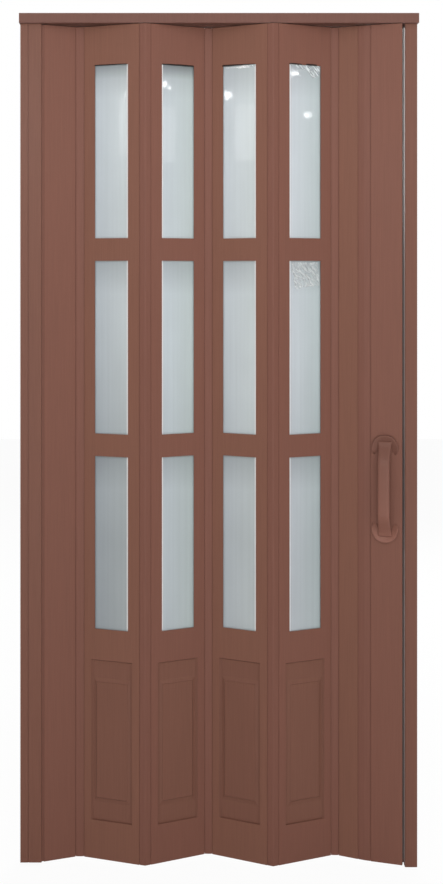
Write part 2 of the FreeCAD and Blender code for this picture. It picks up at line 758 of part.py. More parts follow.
def runner(number, index, distance, shift):
    """Runner: a block with four wheels on the lips, and a pin with a plug in the lamella's end.

    DISTANCE is the pin's place along its panel, and SHIFT the plug's place from the pin, which
    the collar bridges.
    """
    label = "runner_" + str(number)
    body = new_body(label)
    long = size["runner_long"] / 2
    wide = size["runner_wide"] / 2
    base = size["header_lip"] + size["run_clearance"] - size["header_height"] + size["wheel_radius"]
    low = base - size["runner_high"] / 2
    high = base + size["runner_high"] / 2
    block = draw(body, label + "_block", [rectangle(-long, low, long, high)], "XZ_Plane")
    inner = 2 * (wide - size["wheel_wide"])
    extrude(body, block, inner, both_ways=True)
    axle = size["wheel_spread"] / 2
    spots = [(-axle, base), (axle, base)]
    wheels = draw_circles(body, label + "_wheels", spots, size["wheel_radius"], "XZ_Plane")
    extrude(body, wheels, 2 * wide, both_ways=True)
    room = rectangle(-long, base - 2 * size["wheel_radius"], long, low)
    gap = draw(body, label + "_gap", [room], "XZ_Plane")
    pocket = body.newObject("PartDesign::Pocket", label + "_gap_cut")
    pocket.Profile = gap
    bind(pocket, "Length", inner)
    pocket.Midplane = True
    pin_low = -size["header_height"] - size["track_gap"]
    pin = draw_circles(body, label + "_pin", [(ZERO, ZERO)], size["pin_radius"])
    pin.AttachmentOffset = FreeCAD.Placement(FreeCAD.Vector(0, 0, pin_low.value), FreeCAD.Rotation())
    pin.setExpression("AttachmentOffset.Base.z", pin_low.text)
    extrude(body, pin, low - pin_low)
    x, y, turn = along(index, distance)
    plug_turn(body, label, turn, pin_low, shift)
    place(body, x, y, 0)


def plug_turn(body, label, turn, top, shift):
    """Collar and plug at the lower end of the pin, turned as the lamella is."""
    start = shift - size["plug_long"] / 2
    end = start + size["plug_long"]
    thick = room_half - size["plug_fit"]
    spin = FreeCAD.Rotation(FreeCAD.Vector(0, 0, 1), turn)
    plug = draw(body, label + "_plug", [rectangle(start, -thick, end, thick)])
    plug.AttachmentOffset = FreeCAD.Placement(FreeCAD.Vector(0, 0, top.value), spin)
    plug.setExpression("AttachmentOffset.Base.z", top.text)
    extrude(body, plug, size["plug_high"], reverse=True)
    collar = draw(body, label + "_collar", [rectangle(start - shift, -half_thick, end, half_thick)])
    collar.AttachmentOffset = FreeCAD.Placement(FreeCAD.Vector(0, 0, top.value), spin)
    collar.setExpression("AttachmentOffset.Base.z", top.text)
    extrude(body, collar, size["plug_collar"])


def handle(label, side):
    """Bow handle: a grip that stands off the post, between two broad horned feet."""
    body = new_body(label)
    end = size["handle_length"] / 2
    foot = end - size["foot_height"]
    stand = size["grip_stand"]
    under = stand - size["grip_thick"]
    rise = size["grip_rise"]
    root = size["foot_thick"] / 2
    knee = size["grip_knee"]
    upper = [(stand, foot - rise), (knee, foot), (root, end - size["horn_shoulder"]),
             (root, foot + rise / 2), (under, foot - rise)]
    loop = [(-y, z) for y, z in upper + [(y, -z) for y, z in reversed(upper)]]
    extrude(body, draw(body, label + "_bow", [loop], "YZ_Plane"), size["grip_width"], both_ways=True)
    level_bends(body, label, [-stand.value, -under.value, -knee.value])
    bevel_edges(body, size["grip_bevel"], outer_side, label + "_grip_bevel")
    horned_feet(body, label, end, foot)
    x, y, turn = along(LEAD_POST, size["post_pitch"].value - size["handle_inset"].value)
    out = math.radians(turn)
    off = half_thick.value
    place(body, x + side * off * math.sin(out), y - side * off * math.cos(out),
          lamella_z + size["handle_middle"].value, turn + (0 if side > 0 else 180))


def level_bends(body, label, levels):
    """Rounds the bow's bends, which are its level edges at the given places along Y."""

    def bend(edge):
        box = edge.BoundBox
        level = box.YLength < 0.01 and box.ZLength < 0.01 and box.XLength > 1
        return level and any(near(box.YMin, place_y) for place_y in levels)

    round_edges(body, size["bend_round"], bend, label + "_bends")


def outer_side(edge):
    """True for the bow's long outer edges, where its front meets its two sides."""
    box = edge.BoundBox
    half = size["grip_width"].value / 2
    at_side = box.XLength < 0.01 and near(abs(box.XMin), half)
    return at_side and box.Center.y < -size["grip_stand"].value / 2


def horned_feet(body, label, end, foot):
    """Two feet flat on the post, each with a horn at either side of the grip."""
    grip = size["grip_width"] / 2
    wide = size["foot_width"] / 2
    shoulder = size["horn_shoulder"]
    notch = foot + size["horn_notch"]
    horn = [(grip - size["foot_overlap"], notch), (wide - size["horn_root"], notch),
            (wide - size["horn_thick"], foot), (wide, foot), (wide, end - shoulder), (wide - shoulder, end)]
    top = horn + [(-x, z) for x, z in reversed(horn)]
    bottom = [(x, -z) for x, z in top]
    feet = draw(body, label + "_feet", [top, bottom], "XZ_Plane")
    extrude(body, feet, size["foot_thick"])

    def rim(edge):
        box = edge.BoundBox
        flat = box.YLength < 0.01 and near(box.YMin, -size["foot_thick"].value)
        return flat and max(abs(box.XMin), abs(box.XMax)) > grip.value + 1

    def corner(edge):
        box = edge.BoundBox
        across = box.XLength < 0.01 and box.ZLength < 0.01
        return across and near(box.YLength, size["foot_thick"].value) and abs(box.XMin) > grip.value

    round_edges(body, size["horn_round"], corner, label + "_horn_round")
    bevel_edges(body, size["foot_bevel"], rim, label + "_rim_bevel")


def build():
    lead_pin = crossing(LEAD_POST)
    lead_plug = size["lead_reach"] + edge_depth + size["plug_fit"] + size["plug_long"] / 2 - lead_pin
    header_track()
    end_cap("header_cap_left", -size["header_overhang"].value, -1)
    end_cap("header_cap_right", door_width + size["header_overhang"].value, 1)
    wall_channel()
    left_post()
    post_hinge()
    starter_lamella()
    for index in range(1, 5):
        glazed_lamella(index)
        sunk_panel(index)
        for row in range(1, int(size["window_rows"].value) + 1):
            pane(index, row)
    for number in range(1, LEAD_POST):
        hinge_strip(number, size["hinge_reach"])
    hinge_strip(LEAD_POST, size["lead_reach"])
    lead_lamella()
    lead_post()
    magnet_strip_lead()
    strike_jamb()
    magnet_strip_jamb()
    runner(1, 1, crossing(1), ZERO)
    runner(2, 3, crossing(3), ZERO)
    runner(3, LEAD_POST, lead_pin, lead_plug)
    handle("handle_front", 1)
    handle("handle_back", -1)


def check_all():
    """Stops if any object failed or any piece has no sound shape."""
    doc.recompute()
    faults = [item.Name for item in doc.Objects if "Invalid" in item.State or "Error" in item.State]
    for piece in made:
        shape = piece.Shape
        if shape.isNull() or not shape.isValid() or len(shape.Solids) != 1:
            faults.append(piece.Label + " has " + str(len(shape.Solids)) + " solids")
    if faults:
        raise RuntimeError("failed: " + ", ".join(faults))


def write_all():
    os.makedirs("parts", exist_ok=True)
    for piece in made:
        piece.Shape.exportStep("parts/" + piece.Label + ".step")


build()
check_all()
write_all()
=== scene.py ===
"""Looks of a part glazed folding door of hollow plastic lamellas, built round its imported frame."""

import logging
import math
from dataclasses import dataclass, field
from enum import Enum

import bmesh
import bpy
from mathutils import Matrix, Vector, noise


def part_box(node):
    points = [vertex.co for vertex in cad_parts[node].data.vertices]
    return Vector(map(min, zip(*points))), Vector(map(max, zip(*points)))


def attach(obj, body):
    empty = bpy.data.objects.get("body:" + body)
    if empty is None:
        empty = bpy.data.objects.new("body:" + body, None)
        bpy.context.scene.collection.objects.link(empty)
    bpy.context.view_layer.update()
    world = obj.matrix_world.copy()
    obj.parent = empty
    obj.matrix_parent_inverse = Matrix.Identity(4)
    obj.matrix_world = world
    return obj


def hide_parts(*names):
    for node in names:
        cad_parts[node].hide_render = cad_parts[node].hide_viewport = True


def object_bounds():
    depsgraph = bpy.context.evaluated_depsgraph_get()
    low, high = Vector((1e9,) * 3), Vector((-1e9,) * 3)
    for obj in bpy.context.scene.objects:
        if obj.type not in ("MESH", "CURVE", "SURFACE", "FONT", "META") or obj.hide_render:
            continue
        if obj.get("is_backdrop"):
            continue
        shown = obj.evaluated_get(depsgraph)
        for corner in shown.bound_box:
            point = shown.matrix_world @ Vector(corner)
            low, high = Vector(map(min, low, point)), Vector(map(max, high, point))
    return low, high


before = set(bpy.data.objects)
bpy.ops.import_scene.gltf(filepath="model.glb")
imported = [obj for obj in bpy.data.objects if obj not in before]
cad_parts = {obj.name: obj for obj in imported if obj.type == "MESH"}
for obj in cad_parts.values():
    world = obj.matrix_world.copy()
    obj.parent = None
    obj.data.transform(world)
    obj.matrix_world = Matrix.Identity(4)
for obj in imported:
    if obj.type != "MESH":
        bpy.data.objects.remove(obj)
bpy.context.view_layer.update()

Pair = tuple[float, float]
Triple = tuple[float, float, float]
Colour = Triple
Builder = bmesh.types.BMesh
Material = bpy.types.Material
Socket = bpy.types.NodeSocket
Section = tuple[tuple[float, float, float, float], ...]
MM = 0.001
# Distance within which two vertices are one
MERGE = 1e-6
# Part of a noise's range that holds nearly all of it
NOISE_SPAN = (0.3, 0.7)
# Side at which each glazed lamella stands forward: 1 for its right one and -1 for its left one
FORWARD_SIDES = (1, -1, 1, -1)
BODY = "root"
log = logging.getLogger("folding_door")


class Slot(Enum):
    """Material slots of the record; each added piece is passed one."""

    LAMELLA = "lamella_plastic"
    HANDLE = "handle_plastic"
    PANE = "frosted_pane"
    RUNNER = "runner_plastic"


def linear(colour: Colour) -> tuple[float, float, float, float]:
    """Turns a colour of 0 to 255 per channel into Blender's linear values.

    Args:
        colour: red, green and blue as a picture editor shows them.

    Returns:
        Linear red, green, blue and an alpha of 1.
    """
    parts = [value / 255 for value in colour]
    curve = [part / 12.92 if part <= 0.04045 else ((part + 0.055) / 1.055) ** 2.4 for part in parts]
    return (*curve, 1.0)


def dimmed(colour: Colour, share: float) -> Colour:
    """A colour with each channel multiplied by a share."""
    return tuple(value * share for value in colour)


class NodeTree:
    """A node tree, with short calls to add and join nodes."""

    def __init__(self, tree: bpy.types.NodeTree) -> None:
        """Takes a tree and empties it."""
        self.tree = tree
        self.tree.nodes.clear()

    def add(self, kind: str, inputs: dict[str | int, object] | None = None, **settings: object) -> bpy.types.Node:
        """Adds a node, sets its properties and feeds its named or numbered inputs."""
        node = self.tree.nodes.new(kind)
        for name, value in settings.items():
            setattr(node, name, value)
        for key, value in (inputs or {}).items():
            self.feed(node.inputs[key], value)
        return node

    def join(self, start: Socket, end: Socket) -> None:
        """Links an output to an input."""
        self.tree.links.new(start, end)

    def feed(self, end: Socket, value: object) -> None:
        """Gives an input a node's output or a plain value."""
        if isinstance(value, Socket):
            self.join(value, end)
        else:
            end.default_value = value


class Shader(NodeTree):
    """A material's node tree."""

    def __init__(self, name: str) -> None:
        """Starts an empty tree with its output and one surface shader."""
        self.material = bpy.data.materials.new(name)
        self.material.use_nodes = True
        super().__init__(self.material.node_tree)
        self.output = self.add("ShaderNodeOutputMaterial")
        self.surface = self.add("ShaderNodeBsdfPrincipled")
        self.join(self.surface.outputs["BSDF"], self.output.inputs["Surface"])

    def set(self, **values: object) -> None:
        """Feeds the surface shader's own inputs, named with underscores."""
        sockets = {socket.name.lower().replace(" ", "_"): socket for socket in self.surface.inputs}
        for name, value in values.items():
            self.feed(sockets[name], value)

    def place(self, scale: Triple, turn: float = 0.0, centre: Triple = (0, 0, 0)) -> Socket:
        """Object coordinates, moved to a centre, turned about Z and scaled.

        Args:
            scale: pattern units per metre along the turned X, Y and Z.
            turn: turn about Z in radians.
            centre: the pattern's origin, in metres.

        Returns:
            The socket that carries the coordinates.
        """
        where = self.add("ShaderNodeTexCoord").outputs["Object"]
        move = self.add("ShaderNodeMapping", {"Vector": where, "Location": centre, "Rotation": (0, 0, turn)},
                        vector_type="TEXTURE")
        stretch = self.add("ShaderNodeMapping", {"Vector": move.outputs["Vector"], "Scale": scale})
        return stretch.outputs["Vector"]

    def axes(self, turn: float = 0.0, centre: Triple = (0, 0, 0)) -> bpy.types.NodeOutputs:
        """Object coordinates in metres, with an output for each axis."""
        where = self.place((1.0, 1.0, 1.0), turn, centre)
        return self.add("ShaderNodeSeparateXYZ", {"Vector": where}).outputs

    def cloud(self, where: Socket, detail: float = 2.0, rough: float = 0.5) -> Socket:
        """A noise of scale 1 on the given coordinates."""
        node = self.add("ShaderNodeTexNoise", {"Vector": where, "Scale": 1.0, "Detail": detail, "Roughness": rough})
        return node.outputs["Fac"]

    def spread(self, value: Socket, span: Pair, result: Pair) -> Socket:
        """Maps a value's span onto another, clamped at both ends."""
        ends = dict(zip(("From Min", "From Max", "To Min", "To Max"), (*span, *result)))
        return self.add("ShaderNodeMapRange", {"Value": value, **ends}).outputs["Result"]

    def blend(self, factor: Socket, first: Colour, second: Colour) -> Socket:
        """A colour between two, by a factor."""
        node = self.add("ShaderNodeMix", {"Factor": factor}, data_type="RGBA")
        for socket, colour in zip([s for s in node.inputs if s.type == "RGBA"], (first, second)):
            socket.default_value = linear(colour)
        return [s for s in node.outputs if s.type == "RGBA"][0]

    def shade(self, colour: Socket, factor: Socket) -> Socket:
        """A colour multiplied by a number."""
        return self.add("ShaderNodeVectorMath", {0: colour, "Scale": factor}, operation="SCALE").outputs["Vector"]

    def maths(self, operation: str, first: object, second: object) -> Socket:
        """One operation on two values, each a socket or a plain number."""
        return self.add("ShaderNodeMath", {0: first, 1: second}, operation=operation).outputs["Value"]

    def emboss(self, height: Socket, strength: float, depth: float) -> None:
        """Bump on the surface from a height."""
        node = self.add("ShaderNodeBump", {"Strength": strength, "Distance": depth, "Height": height})
        self.set(normal=node.outputs["Normal"])


@dataclass(frozen=True)
class SatinPlastic:
    """Extruded plastic with a faint grain that runs along the profile."""

    name: str
    colour: Colour
    roughness: float = 0.5
    streak: float = 0.014
    grain: float = 0.04
    fine: float = 420.0
    along: float = 9.0
    patches: Triple = (7.0, 7.0, 1.6)
    grain_depth: float = 0.3 * MM
    gloss: float = 0.14

    def build(self) -> Material:
        """Makes the material."""
        shader = Shader(self.name)
        streaks = shader.cloud(shader.place((self.fine, self.fine, self.along)), 4.0, 0.6)
        patches = shader.cloud(shader.place(self.patches), 2.0)
        ends = [dimmed(self.colour, 1 + side * 2 * self.streak) for side in (-1, 1)]
        tone = shader.blend(shader.spread(streaks, NOISE_SPAN, (0.0, 1.0)), *ends)
        tone = shader.shade(tone, shader.spread(patches, NOISE_SPAN, (1 - self.streak, 1 + self.streak)))
        rough = shader.spread(patches, NOISE_SPAN, (self.roughness - 0.03, self.roughness + 0.04))
        shader.emboss(streaks, self.grain, self.grain_depth)
        shader.set(base_color=tone, roughness=rough, specular_ior_level=self.gloss)
        return shader.material


@dataclass(frozen=True)
class HandlePlastic:
    """Moulded plastic of the handles, with painted light: paler towards the lower foot."""

    name: str
    colour: Colour
    # Heights and tone shares of the painted light, paler at the lower foot.
    span: Pair
    shares: Pair = (1.32, 0.88)
    roughness: float = 0.46
    clouds: Triple = (60.0, 60.0, 25.0)
    dull_share: float = 0.985
    pits: float = 900.0
    pit_depth: float = 0.2 * MM
    gloss: float = 0.2

    def build(self) -> Material:
        """Makes the material."""
        shader = Shader(self.name)
        clouds = shader.cloud(shader.place(self.clouds), 3.0)
        dull = dimmed(self.colour, self.dull_share)
        tone = shader.blend(shader.spread(clouds, NOISE_SPAN, (0.0, 1.0)), dull, self.colour)
        # Painted light: the tone grows paler towards the lower foot.
        tone = shader.shade(tone, shader.spread(shader.axes()["Z"], self.span, self.shares))
        rough = shader.spread(clouds, NOISE_SPAN, (self.roughness - 0.03, self.roughness + 0.03))
        shader.emboss(shader.cloud(shader.place((self.pits,) * 3), 2.0), 0.04, self.pit_depth)
        shader.set(base_color=tone, roughness=rough, specular_ior_level=self.gloss)
        return shader.material


@dataclass(frozen=True)
class PaneTones:
    """Painted light and shade of a column of panes.

    Attributes:
        left: colour at the left side of its windows; with right, painted light across each pane, as light falls on
            its turn.
        right: colour at their right side.
        shares: share of the upper window's tone in the second and in the third one, painted shade lower down.
        first_share: share of it along the top of the upper window, painted shade.
    """

    left: Colour
    right: Colour
    shares: Pair
    first_share: float


@dataclass(frozen=True)
class FrostedSheet:
    """Frosted pane: pale sheet with a glossy skin and faint drawn streaks, its tone painted with light and shade."""

    name: str
    centre: Vector
    turn: float
    half_width: float
    top: float
    step: float
    tones: PaneTones
    # Levels of the upper, middle and lower windows, and the painted shade under each window's top and along the top
    # of the upper one.
    levels: Triple = (-0.35, -0.78, -1.25)
    shade_high: float = 0.08
    shade_share: float = 0.72
    first_high: float = 0.032
    streaks: Triple = (120.0, 120.0, 1.5)
    clouds: Triple = (9.0, 9.0, 5.0)
    streak_shares: Pair = (0.965, 1.03)
    cloud_shares: Pair = (0.96, 1.03)
    roughness: Pair = (0.32, 0.42)
    frost: float = 700.0
    frost_depth: float = 0.2 * MM

    def build(self) -> Material:
        """Makes the material for the panes of one lamella."""
        shader = Shader(self.name)
        centre = (self.centre.x, self.centre.y, 0.0)
        where = shader.axes(self.turn, centre)
        # Painted light: the tone runs from the left colour to the right one across the pane, as light falls on its
        # turn.
        side = shader.spread(where["X"], (-self.half_width, self.half_width), (0.0, 1.0))
        tone = shader.blend(side, self.tones.left, self.tones.right)
        level = where["Z"]
        high, middle, low = self.levels
        share, last = self.tones.shares
        depth = shader.maths("SUBTRACT", self.top, level)
        drop = shader.maths("MODULO", depth, self.step)
        streaks = shader.cloud(shader.place(self.streaks, self.turn, centre), 3.0, 0.6)
        clouds = shader.cloud(shader.place(self.clouds), 2.0)
        # Painted shade: darker in the lower windows, along the top of the upper window and under the top of every
        # window; the streaks and clouds are the sheet's own faint tone.
        for value, span, shares in (
                (level, (middle, high), (share, 1.0)),
                (level, (low, middle), (last / share, 1.0)),
                (depth, (0.0, self.first_high), (self.tones.first_share, 1.0)),
                (drop, (0.0, self.shade_high), (self.shade_share, 1.0)),
                (streaks, NOISE_SPAN, self.streak_shares),
                (clouds, NOISE_SPAN, self.cloud_shares)):
            tone = shader.shade(tone, shader.spread(value, span, shares))
        rough = shader.spread(clouds, NOISE_SPAN, self.roughness)
        shader.emboss(shader.cloud(shader.place((self.frost,) * 3), 1.0), 0.05, self.frost_depth)
        shader.set(base_color=tone, roughness=rough, transmission_weight=0.08, specular_ior_level=0.2,
                   coat_weight=0.5, coat_roughness=0.03)
        return shader.material


@dataclass(frozen=True)
class ClearFilm:
    """Thin clear film, milky along its slanting creases."""

    name: str
    colour: Colour
    opacity: Pair
    dull_share: float = 0.86
    fine: float = 260.0
    fold_span: Pair = (0.35, 0.65)
    roughness: Pair = (0.1, 0.22)
    creases_across: float = 210.0
    creases_along: float = 34.0
    crease_span: Pair = (0.42, 0.6)
    gloss: float = 0.25

    def build(self) -> Material:
        """Makes the material."""
        shader = Shader(self.name)
        folds = shader.cloud(shader.place((self.fine,) * 3), 3.0, 0.6)
        dull = dimmed(self.colour, self.dull_share)
        tone = shader.blend(shader.spread(folds, self.fold_span, (0.0, 1.0)), dull, self.colour)
        rough = shader.spread(folds, NOISE_SPAN, self.roughness)
        where = shader.axes()
        slant = {axis: shader.maths("MULTIPLY", shader.maths(operation, where["X"], where["Z"]), scale)
                 for axis, operation, scale in (("X", "ADD", self.creases_across),
                                                ("Y", "SUBTRACT", self.creases_along))}
        creases = shader.cloud(shader.add("ShaderNodeCombineXYZ", slant).outputs["Vector"], 1.0)
        alpha = shader.spread(creases, self.crease_span, self.opacity)
        shader.set(base_color=tone, roughness=rough, alpha=alpha, specular_ior_level=self.gloss)
        return shader.material


@dataclass(frozen=True)
class PlainMetal:
    """Zinc plated steel of rivets and screws."""

    name: str
    colour: Colour
    fine: float = 900.0
    dull_share: float = 0.8
    roughness: Pair = (0.25, 0.4)

    def build(self) -> Material:
        """Makes the material."""
        shader = Shader(self.name)
        scuffs = shader.cloud(shader.place((self.fine,) * 3), 3.0, 0.6)
        tone = shader.blend(scuffs, dimmed(self.colour, self.dull_share), self.colour)
        rough = shader.spread(scuffs, NOISE_SPAN, self.roughness)
        shader.set(base_color=tone, roughness=rough, metallic=1.0)
        return shader.material


@dataclass(frozen=True)
class Board:
    """An upright board of the door, measured from one of its nodes."""

    centre: Vector
    along: Vector
    out: Vector
    half_width: float
    low: float
    high: float

    @classmethod
    def of_node(cls, node: str) -> "Board":
        """Measures a box shaped node.

        Args:
            node: name of a CAD node that is a plain upright box.

        Returns:
            The board, with `along` pointing right and `out` towards the front.
        """
        found = {tuple(round(part, 6) for part in vertex.co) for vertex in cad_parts[node].data.vertices}
        points = [Vector(place) for place in sorted(found)]
        centre = sum(points, Vector()) / len(points)
        flat = [(point.x - centre.x, point.y - centre.y) for point in points]
        spread_x = sum(x * x for x, _ in flat)
        spread_y = sum(y * y for _, y in flat)
        mixed = sum(x * y for x, y in flat)
        turn = 0.5 * math.atan2(2 * mixed, spread_x - spread_y)
        along = Vector((math.cos(turn), math.sin(turn), 0))
        out = Vector((along.y, -along.x, 0))
        half = max((point - centre).dot(along) for point in points)
        return cls(centre, along, out, half, min(p.z for p in points), max(p.z for p in points))

    @property
    def turn(self) -> float:
        """Turn about Z in radians."""
        return math.atan2(self.along.y, self.along.x)

    def point(self, across: float, forward: float, height: float) -> Vector:
        """A point from the board's middle line: across to the right, forward to the front, at a height."""
        spot = self.centre + across * self.along + forward * self.out
        return Vector((spot.x, spot.y, height))

    def matrix(self, height: float) -> Matrix:
        """Turns a piece drawn at the world's origin, facing the front, onto the board at a height."""
        return Matrix.Translation((self.centre.x, self.centre.y, height)) @ Matrix.Rotation(self.turn, 4, "Z")


def mesh_piece(name: str, builder: Builder, material: Material, smooth: bool = True) -> bpy.types.Object:
    """Turns a bmesh into an object at the origin with one material.

    Args:
        name: the piece's name.
        builder: its mesh, in metres in the door's frame; it is freed.
        material: its finish.
        smooth: whether its faces are shaded smooth.

    Returns:
        The new object, linked to the scene.
    """
    bmesh.ops.remove_doubles(builder, verts=builder.verts, dist=MERGE)
    bmesh.ops.recalc_face_normals(builder, faces=builder.faces)
    mesh = bpy.data.meshes.new(name)
    builder.to_mesh(mesh)
    builder.free()
    mesh.materials.append(material)
    for polygon in mesh.polygons:
        polygon.use_smooth = smooth
    piece = bpy.data.objects.new(name, mesh)
    bpy.context.scene.collection.objects.link(piece)
    return piece


def settle(piece: bpy.types.Object, slot: Slot, *nodes: str) -> None:
    """Ties a finished piece to the door and hides the nodes that it stands for."""
    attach(piece, BODY)
    if nodes:
        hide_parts(*nodes)
    log.info("%s: %d faces", piece.name, len(piece.data.polygons))


def dress(material: Material, *nodes: str) -> None:
    """Gives CAD nodes a material in place of their plain one."""
    for name in nodes:
        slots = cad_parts[name].material_slots
        for slot in slots:
            slot.material = material
        log.info("%s: %s", name, material.name)


class ShapeRule(NodeTree):
    """A Geometry Nodes tree with named inputs, which makes plain meshes."""

    def __init__(self, name: str, sizes: dict[str, float]) -> None:
        """Starts a tree with one number input for each size; whole numbers are counts."""
        super().__init__(bpy.data.node_groups.new(name, "GeometryNodeTree"))
        self.keys: dict[str, str] = {}
        for label, value in sizes.items():
            kind = "NodeSocketInt" if isinstance(value, int) else "NodeSocketFloat"
            socket = self.tree.interface.new_socket(name=label, in_out="INPUT", socket_type=kind)
            socket.default_value = value
            self.keys[label] = socket.identifier
        self.tree.interface.new_socket(name="Geometry", in_out="OUTPUT", socket_type="NodeSocketGeometry")
        self.entry = self.add("NodeGroupInput")

    def size(self, label: str) -> Socket:
        """The tree's input of that name."""
        return self.entry.outputs[label]

    def vector(self, **parts: Socket) -> Socket:
        """A vector whose named parts, X, Y or Z, come from sockets."""
        return self.add("ShaderNodeCombineXYZ", parts).outputs["Vector"]

    def close(self, points: Socket, shape: Socket, material: Material) -> None:
        """Ends the tree with a shape on each point, realized, and a material."""
        copies = self.add("GeometryNodeInstanceOnPoints", {"Points": points, "Instance": shape})
        whole = self.add("GeometryNodeRealizeInstances", {"Geometry": copies.outputs["Instances"]})
        coat = self.add("GeometryNodeSetMaterial", {"Geometry": whole.outputs["Geometry"], "Material": material})
        self.add("NodeGroupOutput", {"Geometry": coat.outputs["Geometry"]})

    def make(self, name: str, values: dict[str, float]) -> bpy.types.Mesh:
        """Runs the tree with some sizes changed.

        Args:
            name: name of the new mesh.
            values: sizes by their input's name.

        Returns:
            A plain mesh, with nothing live on it.
        """
        holder = bpy.data.objects.new(name, bpy.data.meshes.new(name + "_seed"))
        bpy.context.scene.collection.objects.link(holder)
        modifier = holder.modifiers.new(name, "NODES")
        modifier.node_group = self.tree
        for label, value in values.items():
            modifier[self.keys[label]] = value
        seen = holder.evaluated_get(bpy.context.evaluated_depsgraph_get())
        mesh = bpy.data.meshes.new_from_object(seen)
        mesh.name = name
        bpy.data.objects.remove(holder)
        return mesh


def joined(name: str, parts: list[tuple[bpy.types.Mesh, Matrix]], smooth: bool = False) -> bpy.types.Object:
    """Joins placed copies of meshes into one piece at the origin.

    Args:
        name: the piece's name.
        parts: meshes and where each goes, the first one's materials being kept.
        smooth: whether faces are shaded smooth.

    Returns:
        The new object.
    """
    builder = bmesh.new()
    for mesh, place in parts:
        placed = mesh.copy()
        placed.transform(place)
        builder.from_mesh(placed)
    return mesh_piece(name, builder, parts[0][0].materials[0], smooth)


@dataclass
class Lamellas:
    """Plain and glazed lamellas, their sunk panels and the soft strips between them."""

    # Painted light: one brown in a lit and a shaded copy, the lamellas that face left painted lighter as the light
    # falls on them.
    painted_lit_lamella: SatinPlastic = SatinPlastic("lamella_to_left", (122, 83, 68.5))
    painted_shaded_lamella: SatinPlastic = SatinPlastic("lamella_to_right", (120, 80, 67.5))
    sunk: SatinPlastic = SatinPlastic("sunk_panel", (118, 80, 66.5), roughness=0.46)
    strip: SatinPlastic = SatinPlastic("soft_strip", (118.5, 79, 67), roughness=0.5, grain=0.06)

    def dress(self) -> None:
        """Gives every lamella, sunk panel and strip its plastic."""
        dress(self.painted_shaded_lamella.build(), "starter_lamella", "glazed_lamella_2", "glazed_lamella_4", "lead_post")
        dress(self.painted_lit_lamella.build(), "glazed_lamella_1", "glazed_lamella_3", "lead_lamella")
        dress(self.sunk.build(), *(f"sunk_panel_{number}" for number in range(1, 5)))
        dress(self.strip.build(), "post_hinge_strip", *(f"hinge_strip_{number}" for number in range(1, 7)))


@dataclass
class SunkBorders:
    """Moulded borders of each sunk panel: from the lamella's skin to the plate, and round its raised field; the outer
    ones are painted darker, as shade along the recess.
    """

    # Painted shade: the border plastic is darker than the sunk panel, for the shade along the edges of the recess.
    border: SatinPlastic = SatinPlastic("sunk_border", (114, 77, 64), roughness=0.5)
    rim: SatinPlastic = SatinPlastic("sunk_field", (118, 80, 66.5), roughness=0.46)
    panel_lap: float = 18 * MM
    half_width: float = 51.7 * MM
    steep_share: float = 0.15
    outer: Section = ((0, 0, 0, 5.8), (4.6, 3.0, 1.4, 1.45), (0, 0, 0, 1.45))
    raised: Section = ((12.3, 53.3, 53.3, 3.5), (5.0, 43.5, 43.5, 1.45), (12.3, 53.3, 53.3, 1.45))

    def build(self, boards: dict[str, Board]) -> None:
        """Makes the borders on both sides of every lamella.

        Args:
            boards: the panes' boards, which give each lamella's middle and turn.
        """
        for name, section, steep, finish in (("sunk_borders", self.outer, self.steep_share, self.border),
                                             ("sunk_fields", self.raised, 1.0, self.rim)):
            builder = bmesh.new()
            for number, forward in enumerate(FORWARD_SIDES, start=1):
                board = boards[f"pane_{number}_1"]
                low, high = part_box(f"sunk_panel_{number}")
                span = (low.z + self.panel_lap, high.z - self.panel_lap)
                for side in (1, -1):
                    shares = {across: steep if across == forward * side else 1.0 for across in (-1, 1)}
                    self.ring(builder, board, side, span, section, shares)
            settle(mesh_piece(name, builder, finish.build(), False), Slot.LAMELLA)

    def ring(self, builder: Builder, board: Board, side: int, span: Pair,
             section: Section, shares: dict[int, float]) -> None:
        """Adds one closed border of triangular section.

        Args:
            builder: mesh that gets the border.
            board: the lamella's middle and turn.
            side: 1 in front and -1 behind.
            span: lower and upper edge of the opening.
            section: inset from the opening's sides, from its top and from its foot, and distance from the
                middle, in millimetres.
            shares: share of the inset that the left side (-1) and the right side (1) get.
        """
        bottom, top = span
        corners = []
        for across, upper in ((-1, False), (1, False), (1, True), (-1, True)):
            corners.append([builder.verts.new(board.point(
                across * (self.half_width - shares[across] * inset * MM), side * face * MM,
                top - from_top * MM if upper else bottom + from_foot * MM))
                for inset, from_top, from_foot, face in section])
        skin(builder, corners, closed=True)


@dataclass
class EndShadowSlab:
    """Dark slab on the upper ends of the lamellas and strips, which nearly closes the gap to the track; its dark
    colour is painted shadow under the track.
    """

    height: float = 1.15 * MM
    # Painted shadow: the slab's dark colour stands for the shade under the track.
    finish: SatinPlastic = SatinPlastic("end_tape", (64, 43, 36), roughness=0.9, streak=0.05, grain=0.3)

    def build(self) -> None:
        """Raises a copy of each piece's upper end by the height of the slab."""
        builder = bmesh.new()
        nodes = ["starter_lamella", "lead_lamella", "lead_post"]
        nodes += [f"glazed_lamella_{number}" for number in range(1, 5)]
        nodes += [f"hinge_strip_{number}" for number in range(1, 7)]
        for node in nodes:
            raise_end(builder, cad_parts[node].data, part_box(node)[1].z, self.height)
        settle(mesh_piece("end_tape", builder, self.finish.build(), False), Slot.LAMELLA)


